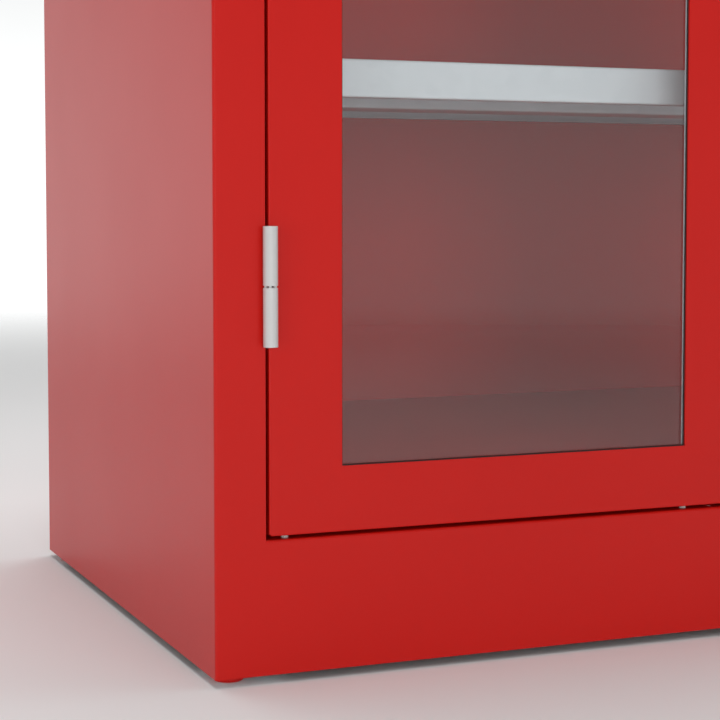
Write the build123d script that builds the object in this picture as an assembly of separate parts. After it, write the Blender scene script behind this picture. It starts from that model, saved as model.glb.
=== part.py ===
from build123d import *

import os
from math import cos, pi, radians, sin

# Heavy-duty storage cabinet: folded steel carcass, two glazed doors on barrel hinges, one shelf.
# Millimetres, +Z up, the front faces -Y. Pieces are modelled with the front face of the carcass on
# y = 0 and the floor on z = 0, and are moved back on export so that the origin is the middle of the
# whole outline on the floor.

# How far a cut runs past the face that it opens
OVERCUT = 1.0

# Carcass
WIDTH = 1000.0
DEPTH = 600.0
HEIGHT = 1000.0
SHEET = 1.5
BEND = 0.8
STILE_WIDTH = 43.0
PLINTH_HEIGHT = 110.0
TOP_RAIL_HEIGHT = 45.0
REAR_FLANGE = 22.0
SILL_DEPTH = 45.0
TOP_RAIL_RETURN = 27.0
JAMB_DEPTH = 27.0
JAMB_LEG = 30.0
FLOOR_RISE = 41.0
FLOOR_SETBACK = 30.0
TOP_FLANGE = 25.0
BEND_CLEARANCE = 1.2

# Levelling feet
FOOT_HEIGHT = 7.0
FOOT_DIAMETER = 24.8
FOOT_INSET = 19.5
FOOT_SETBACK = 27.0
FOOT_CHAMFER = 1.0
STEM_DIAMETER = 8.0
STEM_LENGTH = 42.0
THREAD_CLEARANCE = 0.05
BRACKET_SIZE = 60.0
BRACKET_SHEET = 3.0
BRACKET_HOLE_CLEARANCE = 0.5
NUT_ACROSS_FLATS = 13.0
NUT_HEIGHT = 6.5

# Shelf, its uprights and clips
UPRIGHT_WIDTH = 25.0
UPRIGHT_DEPTH = 12.0
FRONT_UPRIGHT_SETBACK = 75.0
REAR_UPRIGHT_SETBACK = 42.0
SLOT_WIDTH = 12.0
SLOT_HEIGHT = 4.0
SLOT_PITCH = 25.0
FIRST_SLOT_RISE = 45.0
SHELF_SLOT = 10
CLIP_WIDTH = 18.0
CLIP_REACH = 18.0
CLIP_SHEET = 1.5
CLIP_LEDGE = 3.0
CLIP_RISE = 24.0
CLIP_TAB_CLEARANCE = 0.5
SHELF_HEIGHT = 32.0
SHELF_REAR_HEIGHT = 21.0
SHELF_SHEET = 1.2
SHELF_SETBACK = 55.0
SHELF_REAR_CLEARANCE = 7.0
SHELF_SIDE_CLEARANCE = 0.6
SHELF_LIP = 15.0
STIFFENER_WIDTH = 60.0
STIFFENER_FLANGE = 12.0
STIFFENER_END_CLEARANCE = 3.0
STIFFENER_BOTTOM_CLEARANCE = 5.0

# Doors
DOOR_GAP = 3.0
DOOR_DEPTH = 22.0
DOOR_SHEET = 1.5
DOOR_EDGE_RADIUS = 1.2
DOOR_STILE = 63.0
DOOR_RAIL = 54.0
DOOR_LIP = 15.0
CORNER_NOTCH = 1.6

# Glazing
PANE_THICKNESS = 4.0
PANE_OVERLAP = 10.0
GASKET_THICKNESS = 1.0
GASKET_SHOW = 1.0
GASKET_EDGE = 1.0
GLAZING_SHEET = 1.5
GLAZING_WALL = 7.5
GLAZING_CLEARANCE = 0.3
GLAZING_SCREW_PITCH = 160.0
SCREW_DIAMETER = 3.0
SCREW_HEAD_DIAMETER = 6.0
SCREW_HEAD_HEIGHT = 2.0
SCREW_LENGTH = 5.0
SCREW_CLEARANCE = 0.1

# Hinges
HINGE_LENGTH = 96.4
HINGE_DIAMETER = 12.0
HINGE_FACE_CLEARANCE = 0.3
HINGE_AXIS_OFFSET = 2.3
HINGE_END_RISE = 201.5
HINGE_LEAF = 1.2
HINGE_CHAMFER = 0.2
FRAME_LEAF_DEPTH = 25.0
DOOR_LEAF_DEPTH = 18.0
PIN_DIAMETER = 5.0
PIN_CLEARANCE = 0.05
PIN_TOP_CLEARANCE = 1.0
HINGE_CAP = 5.0
BARREL_GAP = 1.6
BALL_DIAMETER = 2.8
BALL_CLEARANCE = 0.1
BALL_COUNT = 6
BALL_START_ANGLE = 8.5

# Lock, handle and rods
LOCK_INSET = 28.5
ROD_DIAMETER = 8.0
ROD_DEPTH = 13.0
ROD_TRAVEL = 12.0
ROD_REST_REACH = 0.5
ROD_CLEARANCE = 0.05
ROD_HOLE_CLEARANCE = 1.0
ROD_START = 22.0
GUIDE_WIDTH = 18.0
GUIDE_HEIGHT = 14.0
GUIDE_WALL = 2.0
ROD_GUIDE_INSETS = (46.0, 236.0)
SPINDLE_DIAMETER = 8.0
SPINDLE_CLEARANCE = 0.5
CAM_DIAMETER = 25.0
CAM_THICKNESS = 2.5
CAM_PIN_DIAMETER = 4.0
CAM_PIN_CLEARANCE = 0.6
YOKE_THICKNESS = 3.0
YOKE_WALL = 2.4
LOCK_CASE_WIDTH = 32.0
LOCK_CASE_HEIGHT = 90.0
LOCK_CASE_SHEET = 1.5
LOCK_CASE_TAB = 12.0
ROSETTE_DIAMETER = 44.0
ROSETTE_HEIGHT = 5.0
HANDLE_REACH = 38.0
HANDLE_GAP = 0.3
HUB_DIAMETER = 26.0
HUB_HEIGHT = 14.0
GRIP_LENGTH = 56.0
GRIP_WIDTH = 19.0
GRIP_FILLET = 3.0
SPINDLE_SOCKET = 10.0
PLUG_DIAMETER = 11.0
PLUG_DEPTH = 12.0
KEYWAY_WIDTH = 1.6
KEYWAY_HEIGHT = 7.0
KEYWAY_DEPTH = 3.0

# Bolts of the left door
BOLT_LENGTH = 100.0
BOLT_GUIDE_INSETS = (22.0, 84.0)
BOLT_KNOB_INSET = 66.0
BOLT_KNOB_DIAMETER = 6.0
BOLT_KNOB_REACH = 11.0

# Buffers and glides
BUFFER_DIAMETER = 10.0
BUFFER_INSETS = (60.0, 470.0)
BUFFER_CLEARANCE = 0.3
GLIDE_DIAMETER = 6.0
GLIDE_HEIGHT = 2.0
GLIDE_INSETS = (62.5, 440.0)
GLIDE_DEPTH = 10.0

# Places worked out from the driving dimensions
BODY_BOTTOM = FOOT_HEIGHT
BODY_TOP = HEIGHT - SHEET
HALF_WIDTH = WIDTH / 2
INNER_HALF = HALF_WIDTH - SHEET
BACK_INNER = DEPTH - 2 * SHEET
STILE_EDGE = HALF_WIDTH - STILE_WIDTH
SILL_TOP = BODY_BOTTOM + PLINTH_HEIGHT
FLOOR_TOP = SILL_TOP + FLOOR_RISE
RAIL_BOTTOM = HEIGHT - TOP_RAIL_HEIGHT
DOOR_BOTTOM = SILL_TOP + DOOR_GAP
DOOR_TOP = RAIL_BOTTOM - DOOR_GAP
DOOR_OUTER = STILE_EDGE - DOOR_GAP
DOOR_INNER = DOOR_GAP / 2
DOOR_MIDDLE = (DOOR_BOTTOM + DOOR_TOP) / 2
WINDOW_INNER = DOOR_INNER + DOOR_STILE
WINDOW_OUTER = DOOR_OUTER - DOOR_STILE
WINDOW_BOTTOM = DOOR_BOTTOM + DOOR_RAIL
WINDOW_TOP = DOOR_TOP - DOOR_RAIL
PANE_FRONT = DOOR_SHEET + GASKET_THICKNESS
PANE_BACK = PANE_FRONT + PANE_THICKNESS
GLAZING_BACK = PANE_BACK + GLAZING_SHEET
GLAZING_INNER = PANE_OVERLAP + GLAZING_CLEARANCE
GLAZING_OUTER = GLAZING_INNER + GLAZING_WALL
HINGE_RADIUS = HINGE_DIAMETER / 2
HINGE_X = STILE_EDGE - HINGE_AXIS_OFFSET
HINGE_Y = -(HINGE_RADIUS + HINGE_FACE_CLEARANCE)
HINGE_HEIGHTS = (DOOR_BOTTOM + HINGE_END_RISE, DOOR_TOP - HINGE_END_RISE)
BALL_CIRCLE_RADIUS = (HINGE_DIAMETER + PIN_DIAMETER) / 4
UPRIGHT_FACE = INNER_HALF - UPRIGHT_DEPTH
UPRIGHT_TOP = BODY_TOP - TOP_FLANGE
FRONT_UPRIGHT_Y = FRONT_UPRIGHT_SETBACK + UPRIGHT_WIDTH / 2
REAR_UPRIGHT_Y = BACK_INNER - REAR_UPRIGHT_SETBACK - UPRIGHT_WIDTH / 2
FIRST_SLOT = FLOOR_TOP + FIRST_SLOT_RISE
SHELF_BOTTOM = FIRST_SLOT + SHELF_SLOT * SLOT_PITCH + CLIP_RISE
SHELF_TOP = SHELF_BOTTOM + SHELF_HEIGHT
SHELF_REAR_BOTTOM = SHELF_TOP - SHELF_REAR_HEIGHT
SHELF_HALF = UPRIGHT_FACE - CLIP_SHEET - SHELF_SIDE_CLEARANCE
SHELF_BACK = BACK_INNER - SHELF_REAR_CLEARANCE
LOCK_X = DOOR_INNER + LOCK_INSET
ROD_RADIUS = ROD_DIAMETER / 2
YOKE_FRONT = ROD_DEPTH - YOKE_THICKNESS / 2
YOKE_BACK = ROD_DEPTH + YOKE_THICKNESS / 2
CAM_FRONT = YOKE_BACK + CAM_PIN_CLEARANCE
CAM_BACK = CAM_FRONT + CAM_THICKNESS
CAM_PIN_RADIUS = ROD_TRAVEL / 2 / sin(radians(45))
GRIP_BACK = -(ROSETTE_HEIGHT + HANDLE_GAP + HUB_HEIGHT)
ORIGIN_SHIFT = Location((0, (HANDLE_REACH - DEPTH) / 2, 0))


def block(x0, x1, y0, y1, z0, z1):
    """Box between two corners."""
    centre = Pos((x0 + x1) / 2, (y0 + y1) / 2, (z0 + z1) / 2)
    return centre * Box(abs(x1 - x0), abs(y1 - y0), abs(z1 - z0))


def post(x, y, z0, z1, diameter):
    """Upright cylinder between two heights."""
    return Pos(x, y, (z0 + z1) / 2) * Cylinder(diameter / 2, abs(z1 - z0))


def bar(x, z, y0, y1, diameter):
    """Cylinder along Y between two depths."""
    return Pos(x, (y0 + y1) / 2, z) * Rot(90, 0, 0) * Cylinder(diameter / 2, abs(y1 - y0))


def ring(x0, x1, z0, z1, outer, inner, y0, y1):
    """Rectangular ring round a window, from inner to outer millimetres outside its edges."""
    whole = block(x0 - outer, x1 + outer, y0, y1, z0 - outer, z1 + outer)
    return whole - block(x0 - inner, x1 + inner, y0 - OVERCUT, y1 + OVERCUT, z0 - inner, z1 + inner)


def mirrored(shape):
    """The same piece on the other side of the middle plane."""
    return mirror(shape, about=Plane.YZ)


def group(solids):
    """Separate solids kept together in one node."""
    return Compound(children=list(solids))


def side_points(points, distance):
    """A path moved to its left by a distance, with mitred corners."""
    corners = [Vector(*point) for point in points]
    steps = [(b - a).normalized() for a, b in zip(corners, corners[1:])]
    normals = [Vector(-step.Y, step.X) for step in steps]
    moved = [corners[0] + normals[0] * distance]
    for corner, before, after in zip(corners[1:-1], normals, normals[1:]):
        moved.append(corner + (before + after) * (distance / (1 + before.dot(after))))
    return moved + [corners[-1] + normals[-1] * distance]


def folded_face(points, thickness):
    """Section of a folded sheet whose material lies to the left of the path."""
    near = [Vector(*point) for point in points]
    far = side_points(points, thickness)
    near_radii = []
    far_radii = []
    for before, corner, after in zip(near, near[1:], near[2:]):
        left_turn = (corner - before).cross(after - corner).Z > 0
        near_radii.append(BEND + thickness if left_turn else BEND)
        far_radii.append(BEND if left_turn else BEND + thickness)
    near_line = FilletPolyline(*near, radius=near_radii)
    far_line = FilletPolyline(*far, radius=far_radii)
    ends = [Line(near_line @ 1, far_line @ 1), Line(far_line @ 0, near_line @ 0)]
    return make_face([*near_line.edges(), *far_line.edges(), *ends])


def rail(points, thickness, half_length):
    """Folded sheet with a (y, z) section, running along X between two ends."""
    face = Plane.YZ.offset(-half_length) * folded_face(points, thickness)
    return extrude(face, amount=2 * half_length, dir=(1, 0, 0))


def left_side_panel():
    """Side wall folded into the rear flange and the front stile."""
    path = [
        (-HALF_WIDTH + REAR_FLANGE, DEPTH),
        (-HALF_WIDTH, DEPTH),
        (-HALF_WIDTH, 0),
        (-STILE_EDGE, 0),
    ]
    face = Pos(0, 0, BODY_BOTTOM) * folded_face(path, SHEET)
    return extrude(face, amount=BODY_TOP - BODY_BOTTOM, dir=(0, 0, 1))


def back_panel():
    """Flat sheet behind the carcass, held by the rear flanges of the sides."""
    half = INNER_HALF - BEND_CLEARANCE
    return block(-half, half, BACK_INNER, DEPTH - SHEET, BODY_BOTTOM, BODY_TOP)


def top_panel():
    """Top sheet with a flange turned down inside the walls."""
    sheet = block(-HALF_WIDTH, HALF_WIDTH, 0, DEPTH, BODY_TOP, HEIGHT)
    sheet = fillet(sheet.edges().filter_by(Axis.Z), BEND + SHEET)
    flange = block(-INNER_HALF, INNER_HALF, SHEET, BACK_INNER, UPRIGHT_TOP, BODY_TOP)
    flange = fillet(flange.edges().filter_by(Axis.Z), BEND + SHEET)
    hollow = block(-INNER_HALF + SHEET, INNER_HALF - SHEET, 2 * SHEET, BACK_INNER - SHEET,
                   UPRIGHT_TOP - OVERCUT, BODY_TOP)
    return sheet + (flange - hollow)


def top_front_rail():
    """Front rail above the doors, folded back, with holes for the rod and the bolt."""
    path = [(0, BODY_TOP), (0, RAIL_BOTTOM), (TOP_RAIL_RETURN, RAIL_BOTTOM)]
    shape = rail(path, SHEET, STILE_EDGE)
    for x in (-LOCK_X, LOCK_X):
        shape -= post(x, ROD_DEPTH, RAIL_BOTTOM - OVERCUT, RAIL_BOTTOM + 2 * SHEET,
                      ROD_DIAMETER + 2 * ROD_HOLE_CLEARANCE)
    return shape


def front_plinth():
    """Base front folded back into the door sill, with holes for the rod and the bolt."""
    path = [(SILL_DEPTH, SILL_TOP), (0, SILL_TOP), (0, BODY_BOTTOM)]
    shape = rail(path, SHEET, STILE_EDGE)
    for x in (-LOCK_X, LOCK_X):
        shape -= post(x, ROD_DEPTH, SILL_TOP - 2 * SHEET, SILL_TOP + OVERCUT,
                      ROD_DIAMETER + 2 * ROD_HOLE_CLEARANCE)
    return shape


def floor_panel():
    """Raised floor, a tray turned over, standing on the sill."""
    outer = block(-INNER_HALF, INNER_HALF, FLOOR_SETBACK, BACK_INNER, SILL_TOP, FLOOR_TOP)
    front_edge = outer.edges().filter_by(Axis.X).group_by(Axis.Z)[-1].sort_by(Axis.Y)[0]
    outer = fillet(front_edge, BEND + SHEET)
    inner = block(-INNER_HALF + SHEET, INNER_HALF - SHEET, FLOOR_SETBACK + SHEET, BACK_INNER - SHEET,
                  SILL_TOP - OVERCUT, FLOOR_TOP - SHEET)
    return outer - inner


def left_door_jamb():
    """Angle behind the left stile that lines the doorway."""
    path = [
        (-STILE_EDGE - JAMB_LEG, SHEET),
        (-STILE_EDGE, SHEET),
        (-STILE_EDGE, JAMB_DEPTH),
    ]
    face = Pos(0, 0, SILL_TOP) * folded_face(path, SHEET)
    return extrude(face, amount=RAIL_BOTTOM - SILL_TOP, dir=(0, 0, 1))


def foot_places():
    """Name and centre of each levelling foot."""
    x = HALF_WIDTH - FOOT_INSET
    front = FOOT_SETBACK
    rear = BACK_INNER - FOOT_SETBACK
    return {
        "front_left": (-x, front),
        "front_right": (x, front),
        "rear_left": (-x, rear),
        "rear_right": (x, rear),
    }


def foot_bracket(x, y):
    """Corner plate that carries one foot."""
    side = 1 if x > 0 else -1
    rear = y > DEPTH / 2
    edge_y = BACK_INNER if rear else SHEET
    far_y = edge_y - BRACKET_SIZE if rear else edge_y + BRACKET_SIZE
    plate = block(side * INNER_HALF, side * (INNER_HALF - BRACKET_SIZE), min(edge_y, far_y),
                  max(edge_y, far_y), BODY_BOTTOM, BODY_BOTTOM + BRACKET_SHEET)
    plate = chamfer(plate.edges().filter_by(Axis.Z), 2 * BEND_CLEARANCE)
    hole = STEM_DIAMETER + 2 * BRACKET_HOLE_CLEARANCE
    return plate - post(x, y, BODY_BOTTOM - OVERCUT, BODY_BOTTOM + BRACKET_SHEET + OVERCUT, hole)


def foot_nut(x, y):
    """Hexagon weld nut on top of a foot bracket."""
    base = BODY_BOTTOM + BRACKET_SHEET
    hexagon = RegularPolygon(NUT_ACROSS_FLATS / 2, 6, major_radius=False)
    nut = extrude(Pos(x, y, base) * hexagon, amount=NUT_HEIGHT, dir=(0, 0, 1))
    thread = STEM_DIAMETER + 2 * THREAD_CLEARANCE
    return nut - post(x, y, base - OVERCUT, base + NUT_HEIGHT + OVERCUT, thread)


def levelling_foot(x, y):
    """Screw-in foot: a low round base on a threaded stem."""
    base = post(x, y, 0, FOOT_HEIGHT, FOOT_DIAMETER)
    base = chamfer(base.edges().filter_by(GeomType.CIRCLE).sort_by(Axis.Z)[0], FOOT_CHAMFER)
    return base + post(x, y, FOOT_HEIGHT, FOOT_HEIGHT + STEM_LENGTH, STEM_DIAMETER)


def left_upright(y):
    """Slotted channel on the left wall that the shelf clips hang in."""
    half = UPRIGHT_WIDTH / 2
    outer = block(-INNER_HALF, -UPRIGHT_FACE, y - half, y + half, FLOOR_TOP, UPRIGHT_TOP)
    inner = block(-INNER_HALF - OVERCUT, -UPRIGHT_FACE - SHEET, y - half + SHEET, y + half - SHEET,
                  FLOOR_TOP - OVERCUT, UPRIGHT_TOP + OVERCUT)
    count = int((UPRIGHT_TOP - FIRST_SLOT - SLOT_HEIGHT) // SLOT_PITCH) + 1
    slots = [
        block(-UPRIGHT_FACE - 2 * SHEET, -UPRIGHT_FACE + OVERCUT, y - SLOT_WIDTH / 2, y + SLOT_WIDTH / 2,
              z - SLOT_HEIGHT / 2, z + SLOT_HEIGHT / 2)
        for z in (FIRST_SLOT + index * SLOT_PITCH for index in range(count))
    ]
    return outer - inner - slots


def left_clip(y):
    """Shelf clip: a ledge and a back plate with a tab through a slot of the upright."""
    half = CLIP_WIDTH / 2
    slot = FIRST_SLOT + SHELF_SLOT * SLOT_PITCH
    tab_half = SLOT_HEIGHT / 2 - CLIP_TAB_CLEARANCE
    tab_width = SLOT_WIDTH / 2 - CLIP_TAB_CLEARANCE
    back = block(-UPRIGHT_FACE, -UPRIGHT_FACE + CLIP_SHEET, y - half, y + half,
                 slot - SLOT_HEIGHT, SHELF_BOTTOM)
    ledge = block(-UPRIGHT_FACE, -UPRIGHT_FACE + CLIP_REACH, y - half, y + half,
                  SHELF_BOTTOM - CLIP_LEDGE, SHELF_BOTTOM)
    tab = block(-UPRIGHT_FACE - SHEET - CLIP_SHEET, -UPRIGHT_FACE, y - tab_width, y + tab_width,
                slot - tab_half, slot + tab_half)
    return back + ledge + tab


def shelf_panel():
    """Shelf pan with folded front and rear flanges, the rear one shorter, and plain side flanges."""
    outer = block(-SHELF_HALF, SHELF_HALF, SHELF_SETBACK, SHELF_BACK, SHELF_BOTTOM, SHELF_TOP)
    outer = fillet(outer.edges().filter_by(Axis.X), BEND + SHELF_SHEET)
    inner = block(-SHELF_HALF + SHELF_SHEET, SHELF_HALF - SHELF_SHEET, SHELF_SETBACK + SHELF_SHEET,
                  SHELF_BACK - SHELF_SHEET, SHELF_BOTTOM + SHELF_SHEET, SHELF_TOP - SHELF_SHEET)
    mouth = block(-SHELF_HALF + SHELF_SHEET, SHELF_HALF - SHELF_SHEET, SHELF_SETBACK + SHELF_LIP,
                  SHELF_BACK + OVERCUT, SHELF_BOTTOM - OVERCUT, SHELF_BOTTOM + SHELF_SHEET)
    below_rear = block(-SHELF_HALF + SHELF_SHEET, SHELF_HALF - SHELF_SHEET, SHELF_BACK - 2 * SHELF_SHEET,
                       SHELF_BACK + OVERCUT, SHELF_BOTTOM, SHELF_REAR_BOTTOM)
    rear_lip = block(-SHELF_HALF + SHELF_SHEET, SHELF_HALF - SHELF_SHEET, SHELF_BACK - SHELF_LIP,
                     SHELF_BACK, SHELF_REAR_BOTTOM, SHELF_REAR_BOTTOM + SHELF_SHEET)
    return outer - inner - mouth - below_rear + rear_lip


def shelf_stiffener():
    """Hat channel under the middle of the shelf."""
    middle = (SHELF_SETBACK + SHELF_BACK) / 2
    top = SHELF_TOP - 2 * SHELF_SHEET
    bottom = SHELF_BOTTOM + STIFFENER_BOTTOM_CLEARANCE
    half = STIFFENER_WIDTH / 2
    path = [
        (middle - half - STIFFENER_FLANGE, top),
        (middle - half, top),
        (middle - half, bottom),
        (middle + half, bottom),
        (middle + half, top),
        (middle + half + STIFFENER_FLANGE, top),
    ]
    return rail(path, SHELF_SHEET, SHELF_HALF - SHELF_SHEET - STIFFENER_END_CLEARANCE)


def right_door_blank():
    """Right door tray: a face with turned edges, rear lips and the window cut-out."""
    x0, x1 = DOOR_INNER, DOOR_OUTER
    z0, z1 = DOOR_BOTTOM, DOOR_TOP
    tray = block(x0, x1, 0, DOOR_DEPTH, z0, z1)
    tray = fillet(tray.faces().sort_by(Axis.Y)[0].edges(), DOOR_EDGE_RADIUS)
    tray -= block(x0 + DOOR_SHEET, x1 - DOOR_SHEET, DOOR_SHEET, DOOR_DEPTH - DOOR_SHEET,
                  z0 + DOOR_SHEET, z1 - DOOR_SHEET)
    tray -= block(x0 + DOOR_LIP, x1 - DOOR_LIP, DOOR_DEPTH - 2 * DOOR_SHEET, DOOR_DEPTH + OVERCUT,
                  z0 + DOOR_LIP, z1 - DOOR_LIP)
    tray -= block(WINDOW_INNER, WINDOW_OUTER, -OVERCUT, DOOR_SHEET + OVERCUT, WINDOW_BOTTOM, WINDOW_TOP)
    notch = CORNER_NOTCH
    for x in (x0, x1):
        for z in (z0, z1):
            tray -= block(x - notch, x + notch, -OVERCUT, DOOR_DEPTH + OVERCUT, z - notch, z + notch)
    hole = ROD_DIAMETER + 2 * ROD_HOLE_CLEARANCE
    for z in (z0, z1):
        tray -= post(LOCK_X, ROD_DEPTH, z - 2 * DOOR_SHEET, z + 2 * DOOR_SHEET, hole)
    return tray


def right_door_panel():
    """Right door tray with the spindle hole."""
    hole = SPINDLE_DIAMETER + 2 * SPINDLE_CLEARANCE
    return right_door_blank() - bar(LOCK_X, DOOR_MIDDLE, -OVERCUT, DOOR_SHEET + OVERCUT, hole)


def window_pane():
    """Clear pane behind the right door's face."""
    over = PANE_OVERLAP
    return block(WINDOW_INNER - over, WINDOW_OUTER + over, PANE_FRONT, PANE_BACK,
                 WINDOW_BOTTOM - over, WINDOW_TOP + over)


def window_gasket():
    """Flat seal between the door's face and the pane, showing as a thin line."""
    return ring(WINDOW_INNER, WINDOW_OUTER, WINDOW_BOTTOM, WINDOW_TOP, PANE_OVERLAP - GASKET_EDGE,
                -GASKET_SHOW, DOOR_SHEET, PANE_FRONT)


def glazing_screw_places():
    """Where the screws stand round the right door's glazing frame."""
    line = (GLAZING_INNER + GLAZING_OUTER) / 2
    x0, x1 = WINDOW_INNER - line, WINDOW_OUTER + line
    z0, z1 = WINDOW_BOTTOM - line, WINDOW_TOP + line
    across = max(2, round((x1 - x0) / GLAZING_SCREW_PITCH))
    upright = max(2, round((z1 - z0) / GLAZING_SCREW_PITCH))
    rows = [(x0 + (x1 - x0) * (i + 0.5) / across, z) for i in range(across) for z in (z0, z1)]
    columns = [(x, z0 + (z1 - z0) * (i + 0.5) / upright) for i in range(upright) for x in (x0, x1)]
    return rows + columns


def glazing_frame():
    """Screwed frame that presses the pane against the door's face."""
    window = (WINDOW_INNER, WINDOW_OUTER, WINDOW_BOTTOM, WINDOW_TOP)
    wall = ring(*window, GLAZING_OUTER, GLAZING_INNER, DOOR_SHEET, GLAZING_BACK)
    lip = ring(*window, GLAZING_OUTER, 0, PANE_BACK, GLAZING_BACK)
    hole = SCREW_DIAMETER + 2 * SCREW_CLEARANCE
    holes = [
        bar(x, z, GLAZING_BACK - SCREW_LENGTH - SCREW_CLEARANCE, GLAZING_BACK + OVERCUT, hole)
        for x, z in glazing_screw_places()
    ]
    return wall + lip - holes


def screw(x, z, seat):
    """Pan-head screw along Y with its head on the rear side of a seat."""
    head = bar(x, z, seat, seat + SCREW_HEAD_HEIGHT, SCREW_HEAD_DIAMETER)
    head = fillet(head.edges().filter_by(GeomType.CIRCLE).sort_by(Axis.Y)[-1], SCREW_HEAD_HEIGHT / 2)
    return head + bar(x, z, seat - SCREW_LENGTH, seat, SCREW_DIAMETER)


def left_ball_race(middle):
    """Ring that cuts the ball race into the ends of both barrels."""
    return Pos(-HINGE_X, HINGE_Y, middle) * Torus(BALL_CIRCLE_RADIUS, BALL_DIAMETER / 2 + BALL_CLEARANCE)


def left_frame_barrel(middle):
    """Lower hinge barrel with its leaf on the left jamb."""
    bottom = middle - HINGE_LENGTH / 2
    top = middle - BARREL_GAP / 2
    barrel = post(-HINGE_X, HINGE_Y, bottom, top, HINGE_DIAMETER)
    barrel = chamfer(barrel.edges().filter_by(GeomType.CIRCLE), HINGE_CHAMFER)
    leaf = block(-STILE_EDGE, -STILE_EDGE + HINGE_LEAF, HINGE_Y, FRAME_LEAF_DEPTH,
                 bottom + HINGE_CHAMFER, top - HINGE_CHAMFER)
    bore = post(-HINGE_X, HINGE_Y, bottom - OVERCUT, top + OVERCUT, PIN_DIAMETER)
    return barrel + leaf - bore - left_ball_race(middle)


def left_door_barrel(middle):
    """Upper hinge barrel with its leaf on the edge of the left door."""
    bottom = middle + BARREL_GAP / 2
    top = middle + HINGE_LENGTH / 2
    barrel = post(-HINGE_X, HINGE_Y, bottom, top, HINGE_DIAMETER)
    barrel = chamfer(barrel.edges().filter_by(GeomType.CIRCLE), HINGE_CHAMFER)
    leaf = block(-DOOR_OUTER - HINGE_LEAF, -DOOR_OUTER, HINGE_Y, DOOR_LEAF_DEPTH,
                 bottom + HINGE_CHAMFER, top - HINGE_CHAMFER)
    bore = post(-HINGE_X, HINGE_Y, bottom - OVERCUT, top - HINGE_CAP, PIN_DIAMETER + 2 * PIN_CLEARANCE)
    return barrel + leaf - bore - left_ball_race(middle)


def left_hinge_pin(middle):
    """Pin fixed in the lower barrel, on which the upper barrel turns."""
    return post(-HINGE_X, HINGE_Y, middle - HINGE_LENGTH / 2,
                middle + HINGE_LENGTH / 2 - HINGE_CAP - PIN_TOP_CLEARANCE, PIN_DIAMETER)


def left_hinge_balls(middle):
    """Ring of bearing balls in the race between the two barrels."""
    start = radians(BALL_START_ANGLE)
    angles = [start + 2 * pi * index / BALL_COUNT for index in range(BALL_COUNT)]
    return [
        Pos(-HINGE_X + BALL_CIRCLE_RADIUS * cos(a), HINGE_Y + BALL_CIRCLE_RADIUS * sin(a), middle)
        * Sphere(BALL_DIAMETER / 2)
        for a in angles
    ]


def rod_guide(z):
    """Block on the back of the right door's face that a rod slides through."""
    half = GUIDE_WIDTH / 2
    guide = block(LOCK_X - half, LOCK_X + half, DOOR_SHEET, ROD_DEPTH + ROD_RADIUS + GUIDE_WALL,
                  z, z + GUIDE_HEIGHT)
    hole = ROD_DIAMETER + 2 * ROD_CLEARANCE
    return guide - post(LOCK_X, ROD_DEPTH, z - OVERCUT, z + GUIDE_HEIGHT + OVERCUT, hole)


def guides(insets):
    """Guides at given distances from both ends of the right door."""
    upper = [rod_guide(DOOR_TOP - inset - GUIDE_HEIGHT) for inset in insets]
    lower = [rod_guide(DOOR_BOTTOM + inset) for inset in insets]
    return upper + lower


def upper_lock_rod():
    """Rod to the top rail, with the yoke that the cam's pin lifts."""
    pin_z = DOOR_MIDDLE - ROD_TRAVEL / 2
    slot_half = CAM_PIN_DIAMETER / 2 + CAM_PIN_CLEARANCE
    near = LOCK_X + SPINDLE_DIAMETER / 2 + CAM_PIN_CLEARANCE
    slot_end = LOCK_X + CAM_PIN_RADIUS + slot_half
    far = slot_end + YOKE_WALL
    start = DOOR_MIDDLE + ROD_START
    rod = post(LOCK_X, ROD_DEPTH, start, DOOR_TOP + ROD_REST_REACH, ROD_DIAMETER)
    yoke = block(near, far, YOKE_FRONT, YOKE_BACK, pin_z - slot_half - YOKE_WALL, start + ROD_DIAMETER)
    yoke += block(LOCK_X, near, YOKE_FRONT, YOKE_BACK, start, start + ROD_DIAMETER)
    slot = block(near - OVERCUT, slot_end, YOKE_FRONT - OVERCUT, YOKE_BACK + OVERCUT,
                 pin_z - slot_half, pin_z + slot_half)
    return rod + (yoke - slot)


def lower_lock_rod():
    """The upper rod turned half a turn about the spindle."""
    turn = Pos(LOCK_X, 0, DOOR_MIDDLE) * Rot(0, 180, 0) * Pos(-LOCK_X, 0, -DOOR_MIDDLE)
    return turn * upper_lock_rod()


def lock_case():
    """Cover over the cam and the yokes, with a screw tab at each end."""
    half = LOCK_CASE_WIDTH / 2
    z0 = DOOR_MIDDLE - LOCK_CASE_HEIGHT / 2
    z1 = DOOR_MIDDLE + LOCK_CASE_HEIGHT / 2
    back = CAM_BACK + CAM_PIN_CLEARANCE + LOCK_CASE_SHEET
    wall = LOCK_CASE_SHEET
    case = block(LOCK_X - half, LOCK_X + half, DOOR_SHEET, back, z0, z1)
    case -= block(LOCK_X - half + wall, LOCK_X + half - wall, DOOR_SHEET - OVERCUT, back - wall,
                  z0 + wall, z1 - wall)
    case += block(LOCK_X - half, LOCK_X + half, DOOR_SHEET, DOOR_SHEET + wall, z0 - LOCK_CASE_TAB, z0 + wall)
    case += block(LOCK_X - half, LOCK_X + half, DOOR_SHEET, DOOR_SHEET + wall, z1 - wall, z1 + LOCK_CASE_TAB)
    case -= post(LOCK_X, ROD_DEPTH, z0 - OVERCUT, z1 + OVERCUT, ROD_DIAMETER + 2 * ROD_HOLE_CLEARANCE)
    for x, z in lock_screw_places():
        case -= bar(x, z, DOOR_SHEET - OVERCUT, DOOR_SHEET + wall + OVERCUT,
                    SCREW_DIAMETER + 2 * SCREW_CLEARANCE)
    return case


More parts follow.
